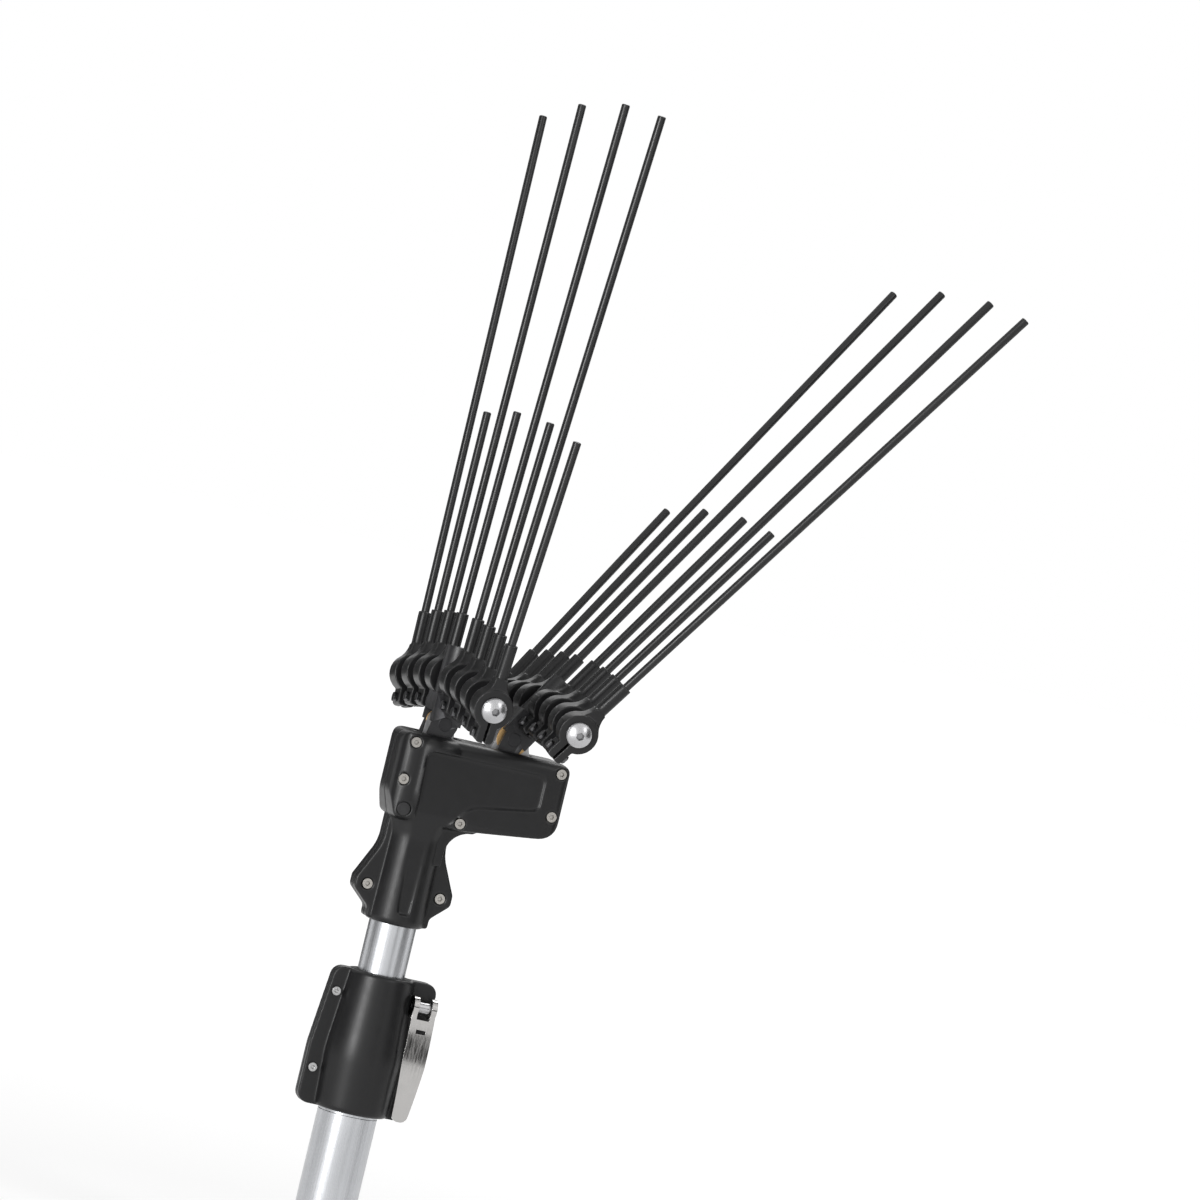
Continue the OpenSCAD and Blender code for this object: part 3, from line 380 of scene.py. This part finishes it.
def mould(node, material, skin_values):
    """Gives a moulded solid its finish and melts its edges into even, tool-like rounds."""
    cell, passes, keep = skin_values
    piece = paint(node, material)
    skin = piece.modifiers.new("even_skin", "REMESH")
    skin.mode = "VOXEL"
    skin.voxel_size = cell
    skin.use_smooth_shade = True
    melt = piece.modifiers.new("soft_edges", "SMOOTH")
    melt.factor = MELT_FACTOR
    melt.iterations = passes
    thin = piece.modifiers.new("fewer_faces", "DECIMATE")
    thin.ratio = keep


# Settings

def colour_setting(name, description, default):
    return bpy.props.FloatVectorProperty(
        name=name, description=description, subtype="COLOR",
        size=3, min=0.0, max=1.0, default=default)


def round_setting(name, description, default_mm):
    return bpy.props.FloatProperty(
        name=name, description=description, subtype="DISTANCE", unit="LENGTH",
        min=0.0, max=2.0 * MM, default=default_mm * MM)


def angle_setting(name, description, degrees):
    return bpy.props.FloatProperty(
        name=name, description=description, subtype="ANGLE", default=math.radians(degrees))


class HarvesterLook(bpy.types.PropertyGroup):
    housing_colour: colour_setting(
        "Housing", "Colour of the moulded housing", (0.008, 0.008, 0.0085))
    collar_colour: colour_setting(
        "Collar", "Colour of the clamp collar", (0.008, 0.008, 0.0085))
    holder_colour: colour_setting(
        "Holders", "Colour of the tine holders", (0.008, 0.008, 0.0085))
    tine_colour: colour_setting(
        "Tines", "Colour of the carbon tines", (0.006, 0.006, 0.0065))
    tube_colour: colour_setting(
        "Tubes", "Colour of the anodised pole tubes", (0.55, 0.56, 0.58))
    coat_colour: colour_setting(
        "Posts and bars", "Colour of the powder coat", (0.012, 0.012, 0.013))
    lever_colour: colour_setting(
        "Lever", "Colour of the polished lever", (0.5, 0.49, 0.48))
    bolt_colour: colour_setting(
        "End bolts", "Colour of the domed end bolts", (0.5, 0.5, 0.51))
    small_round: round_setting(
        "Small round", "Round on screws, pins, tines and small steel pieces", 0.3)
    wide_round: round_setting(
        "Wide round", "Round on the lower tube, sleeve, guide bush, lever and motor", 0.4)
    bar_round: round_setting(
        "Bar round", "Round on the comb bars and the pivot frame", 0.5)
    plug_round: round_setting("Plug round", "Round on the side plug", 0.6)
    post_round: round_setting("Post round", "Round on the comb posts", 0.8)
    bush_round: round_setting("Bush round", "Round on the bronze bushes", 0.2)


class HarvesterStudio(bpy.types.PropertyGroup):
    azimuth: angle_setting("Azimuth", "Camera's turn round the pole", -16.3)
    elevation: angle_setting("Elevation", "Camera's height above the horizon", 1.5)
    roll: angle_setting("Roll", "Lean of the pole in the picture", 13.5)
    lens: bpy.props.FloatProperty(
        name="Lens", description="Focal length in millimetres", min=20.0, max=400.0, default=200.0)
    distance: bpy.props.FloatProperty(
        name="Distance", description="From the camera to its target", subtype="DISTANCE",
        unit="LENGTH", min=0.5, max=20.0, default=4.8)
    target: bpy.props.FloatVectorProperty(
        name="Target", description="Point in the middle of the picture", subtype="TRANSLATION",
        unit="LENGTH", size=3, default=(0.0871, -0.0254, 0.5217))
    key_power: bpy.props.FloatProperty(
        name="Key lamp", description="Power of the main soft lamp", subtype="POWER",
        unit="POWER", min=0.0, max=2000.0, default=45.0)
    floor_colour: colour_setting("Floor", "Colour of the studio floor", (0.9, 0.9, 0.9))


# Pieces

class HARVESTER_OT_pole(bpy.types.Operator):
    """Dress both tubes, the clamp sleeve and the guide bush"""
    bl_idname = "harvester.pole"
    bl_label = "Pole"

    def execute(self, context):
        look = context.scene.harvester_look
        tube = drawn_tube("drawn_aluminium", look.tube_colour, rough=0.24)
        dress("lower_tube", tube, look.wide_round)
        dress("upper_tube", tube, look.small_round)
        dress("clamp_sleeve", rubber("sleeve_rubber", SLEEVE_BLACK), look.wide_round)
        nylon = moulded("guide_nylon", GUIDE_GREY, rough=0.5, grain=700.0, wear=GUIDE_WEAR)
        dress("guide_bush", nylon, look.wide_round)
        return {"FINISHED"}


class HARVESTER_OT_collar(bpy.types.Operator):
    """Dress the two collar halves with their screws and nuts"""
    bl_idname = "harvester.collar"
    bl_label = "Collar"

    def execute(self, context):
        look = context.scene.harvester_look
        nylon = moulded(
            "collar_nylon", look.collar_colour, rough=0.34, grain=650.0, wear=COLLAR_WEAR)
        for node in COLLAR_HALVES:
            mould(node, nylon, COLLAR_SKIN)
        steel = turned_head("collar_screw_steel", COLLAR_SCREW, rough=0.28, socket=SMALL_SOCKET)
        dress("collar_screws", steel, look.small_round)
        dress("collar_nuts", steel, look.small_round)
        return {"FINISHED"}


class HARVESTER_OT_lever(bpy.types.Operator):
    """Dress the cam lever, its bolt and its pin"""
    bl_idname = "harvester.lever"
    bl_label = "Cam lever"

    def execute(self, context):
        look = context.scene.harvester_look
        sheet = polished_sheet("polished_stainless", look.lever_colour)
        dress("clamp_lever", sheet, look.wide_round, segments=3)
        plated = brushed("plated_steel", PLATED_STEEL, rough=0.28)
        dress("clamp_bolt", plated, look.small_round)
        dress("lever_pin", plated, look.small_round)
        return {"FINISHED"}


class HARVESTER_OT_housing(bpy.types.Operator):
    """Dress the housing shells, their screws and the side plug"""
    bl_idname = "harvester.housing"
    bl_label = "Housing"

    def execute(self, context):
        look = context.scene.harvester_look
        nylon = moulded(
            "housing_nylon", look.housing_colour, rough=0.34, grain=600.0, wear=HOUSING_WEAR)
        for node in HOUSING_HALVES:
            mould(node, nylon, HOUSING_SKIN)
        steel = turned_head("shell_screw_steel", SHELL_SCREW, rough=0.3, socket=SMALL_SOCKET)
        dress("housing_screws", steel, look.small_round)
        plug = moulded("plug_nylon", PLUG_BLACK, rough=0.42, grain=800.0, wear=PLUG_WEAR)
        dress("side_plug", plug, look.plug_round)
        return {"FINISHED"}


class HARVESTER_OT_drive(bpy.types.Operator):
    """Dress the pivot frame, bushes, motor, gears, crank and drive link"""
    bl_idname = "harvester.drive"
    bl_label = "Drive"

    def execute(self, context):
        look = context.scene.harvester_look
        dress("pivot_frame", cast("cast_aluminium", CAST_GREY), look.bar_round)
        dress("pivot_bushes", bronze("oiled_bronze", OILED_BRONZE), look.bush_round)
        gear = brushed("greased_steel", GEAR_STEEL, rough=0.3, grain=NO_LINES)
        for node in GEARS:
            dress(node, gear)
        for node in ("crank_carrier", "drive_link"):
            dress(node, gear, look.small_round)
        race = brushed("bearing_steel", RACE_STEEL, rough=0.18)
        dress("crank_bearing", race, look.small_round)
        dress("crank_roller", race, look.small_round)
        can = brushed("motor_steel", MOTOR_STEEL, rough=0.35, grain=LINES_ON_Z)
        dress("motor_can", can, look.wide_round)
        dress("motor_rotor", can, look.small_round)
        return {"FINISHED"}


class HARVESTER_OT_combs(bpy.types.Operator):
    """Dress the posts, bars, pins, bolts and holders of both combs"""
    bl_idname = "harvester.combs"
    bl_label = "Combs"

    def execute(self, context):
        look = context.scene.harvester_look
        coat = powder_coat("black_powder_coat", look.coat_colour)
        pin = brushed("pin_steel", PIN_STEEL, rough=0.34)
        bolt = turned_head("end_bolt_steel", look.bolt_colour, rough=0.26, socket=LARGE_SOCKET)
        pinch = turned_head("pinch_bolt_steel", PINCH_STEEL, rough=0.3, socket=LARGE_SOCKET)
        nylon = moulded(
            "holder_nylon", look.holder_colour, rough=0.32, grain=700.0, wear=HOLDER_WEAR)
        for side in SIDES:
            dress(f"{side}_post", coat, look.post_round)
            dress(f"{side}_comb_bar", coat, look.bar_round)
            dress(f"{side}_pivot_pin", pin, look.small_round)
            dress(f"{side}_link_pin", pin, look.small_round)
            dress(f"{side}_end_bolts", bolt, look.small_round)
            dress(f"{side}_pinch_bolts", pinch, look.small_round)
            for i in HOLDERS:
                mould(f"{side}_holder_{i}", nylon, HOLDER_SKIN)
        return {"FINISHED"}


class HARVESTER_OT_tines(bpy.types.Operator):
    """Dress the long and short carbon tines of both combs"""
    bl_idname = "harvester.tines"
    bl_label = "Tines"

    def execute(self, context):
        look = context.scene.harvester_look
        rod = carbon_rod("pultruded_carbon", look.tine_colour)
        for side in SIDES:
            for length in ("long", "short"):
                dress(f"{side}_{length}_tines", rod, look.small_round)
        return {"FINISHED"}


# Stage

def direction(azimuth, elevation):
    """Unit vector from the object, by its turn from the front and its rise."""
    level = math.cos(elevation)
    return Vector((math.sin(azimuth) * level, -math.cos(azimuth) * level, math.sin(elevation)))


def bearing(studio, turn, rise, reach):
    """A place round the object, by degrees right of the camera and above the horizon."""
    return direction(studio.azimuth + math.radians(turn), math.radians(rise)) * reach


def lamp(name, place, aim, size, power):
    """Soft rectangular lamp that looks at a point."""
    data = bpy.data.lights.new(name, "AREA")
    data.shape = "RECTANGLE"
    data.size, data.size_y = size
    data.energy = power
    made = bpy.data.objects.new(name, data)
    made.location = place
    made.rotation_euler = (aim - place).to_track_quat("-Z", "Y").to_euler()
    bpy.context.scene.collection.objects.link(made)


def matt_card(name, half, colour):
    """Flat rectangle of matt stock that belongs to the stage, with its shader."""
    wide, tall = half
    corners = [(-wide, -tall, 0.0), (wide, -tall, 0.0), (wide, tall, 0.0), (-wide, tall, 0.0)]
    mesh = bpy.data.meshes.new(name)
    mesh.from_pydata(corners, [], [(0, 1, 2, 3)])
    made = bpy.data.objects.new(name, mesh)
    bpy.context.scene.collection.objects.link(made)
    material = bpy.data.materials.new(name)
    material.use_nodes = True
    shader = material.node_tree.nodes["Principled BSDF"]
    shader.inputs["Base Color"].default_value = (*colour, 1.0)
    shader.inputs["Roughness"].default_value = MATT
    mesh.materials.append(material)
    return made, shader, material.node_tree


def flag(name, half, target, offset):
    """Dark card that only reflections see, so that round metal shows its form."""
    made = matt_card(name, half, FLAG_GREY)[0]
    made.location = target + offset
    made.rotation_euler = (-offset).to_track_quat("Z", "Y").to_euler()
    made.visible_camera = made.visible_diffuse = made.visible_shadow = False


def seen_rays(tree):
    """One for rays that show the surround itself: camera, glossy and transmission rays."""
    path = tree.nodes.new("ShaderNodeLightPath")
    total = path.outputs["Is Camera Ray"]
    for name in ("Is Glossy Ray", "Is Transmission Ray"):
        step = tree.nodes.new("ShaderNodeMath")
        step.operation = "MAXIMUM"
        tree.links.new(total, step.inputs[0])
        tree.links.new(path.outputs[name], step.inputs[1])
        total = step.outputs["Value"]
    return total


class HARVESTER_OT_stage(bpy.types.Operator):
    """Set up the pale floor, the soft lamps, the white surround and the camera"""
    bl_idname = "harvester.stage"
    bl_label = "Stage"

    def execute(self, context):
        scene = context.scene
        studio = scene.harvester_studio
        target = Vector(studio.target)
        scene.view_settings.view_transform = "Standard"
        self.surround(scene)
        self.floor(studio)
        for name, turn, rise, reach, size, share in LAMPS:
            place = target + bearing(studio, turn, rise, reach)
            lamp(name, place, target, size, studio.key_power * share)
        for name, turn, half in FLAGS:
            flag(name, half, target, bearing(studio, turn, 0.0, FLAG_REACH))
        name, turn, half = LEVER_FLAG
        lever = Vector((target.x, target.y, LEVER_HEIGHT))
        flag(name, half, lever, bearing(studio, turn, 0.0, FLAG_REACH))
        self.camera(scene, studio, target)
        return {"FINISHED"}

    def surround(self, scene):
        world = bpy.data.worlds.new("white_surround")
        scene.world = world
        world.use_nodes = True
        tree = world.node_tree
        back = tree.nodes["Background"]
        back.inputs["Color"].default_value = WHITE
        level = tree.nodes.new("ShaderNodeMapRange")
        set_span(level, (0.0, 1.0), (SURROUND_LIGHT, SURROUND_SEEN))
        tree.links.new(seen_rays(tree), level.inputs["Value"])
        tree.links.new(level.outputs["Result"], back.inputs["Strength"])

    def floor(self, studio):
        made, shader, tree = matt_card("floor", (FLOOR_HALF, FLOOR_HALF), studio.floor_colour)
        made.location.z = FLOOR_DROP
        shader.inputs["Specular IOR Level"].default_value = 0.0
        shader.inputs["Emission Color"].default_value = WHITE
        place = tree.nodes.new("ShaderNodeTexCoord")
        reach = tree.nodes.new("ShaderNodeVectorMath")
        reach.operation = "LENGTH"
        tree.links.new(place.outputs["Object"], reach.inputs[0])
        level = tree.nodes.new("ShaderNodeMapRange")
        set_span(level, GLOW_REACH, GLOW_LEVEL)
        tree.links.new(reach.outputs["Value"], level.inputs["Value"])
        glow = tree.nodes.new("ShaderNodeMath")
        glow.operation = "MULTIPLY"
        tree.links.new(seen_rays(tree), glow.inputs[0])
        tree.links.new(level.outputs["Result"], glow.inputs[1])
        tree.links.new(glow.outputs["Value"], shader.inputs["Emission Strength"])

    def camera(self, scene, studio, target):
        turn, roll = studio.azimuth, studio.roll
        back = direction(turn, studio.elevation)
        right = Vector((math.cos(turn), math.sin(turn), 0.0))
        up = back.cross(right)
        side = right * math.cos(roll) + up * math.sin(roll)
        top = up * math.cos(roll) - right * math.sin(roll)
        data = bpy.data.cameras.new("camera")
        data.lens = studio.lens
        data.sensor_width = SENSOR_WIDTH
        data.clip_end = CLIP_END
        made = bpy.data.objects.new("camera", data)
        facing = Matrix((side, top, back)).transposed().to_4x4()
        made.matrix_world = Matrix.Translation(target + back * studio.distance) @ facing
        scene.collection.objects.link(made)
        scene.camera = made


PIECES = (
    HARVESTER_OT_pole, HARVESTER_OT_collar, HARVESTER_OT_lever, HARVESTER_OT_housing,
    HARVESTER_OT_drive, HARVESTER_OT_combs, HARVESTER_OT_tines, HARVESTER_OT_stage)


class HARVESTER_PT_panel(bpy.types.Panel):
    """Sizes and colours of the harvester head, and a button for each group of pieces"""
    bl_idname = "HARVESTER_PT_panel"
    bl_label = "Olive harvester head"
    bl_space_type = "VIEW_3D"
    bl_region_type = "UI"
    bl_category = "Harvester"

    def draw(self, context):
        for settings in (context.scene.harvester_look, context.scene.harvester_studio):
            column = self.layout.column(align=True)
            for name in settings.__annotations__:
                column.prop(settings, name)
        for piece in PIECES:
            self.layout.operator(piece.bl_idname)


CLASSES = (HarvesterLook, HarvesterStudio, *PIECES, HARVESTER_PT_panel)


def register():
    for cls in CLASSES:
        bpy.utils.register_class(cls)
    bpy.types.Scene.harvester_look = bpy.props.PointerProperty(type=HarvesterLook)
    bpy.types.Scene.harvester_studio = bpy.props.PointerProperty(type=HarvesterStudio)


def unregister():
    del bpy.types.Scene.harvester_studio
    del bpy.types.Scene.harvester_look
    for cls in reversed(CLASSES):
        bpy.utils.unregister_class(cls)


def main():
    register()
    bpy.ops.harvester.pole()
    bpy.ops.harvester.collar()
    bpy.ops.harvester.lever()
    bpy.ops.harvester.housing()
    bpy.ops.harvester.drive()
    bpy.ops.harvester.combs()
    bpy.ops.harvester.tines()
    bpy.ops.harvester.stage()


if __name__ == "__main__":
    main()
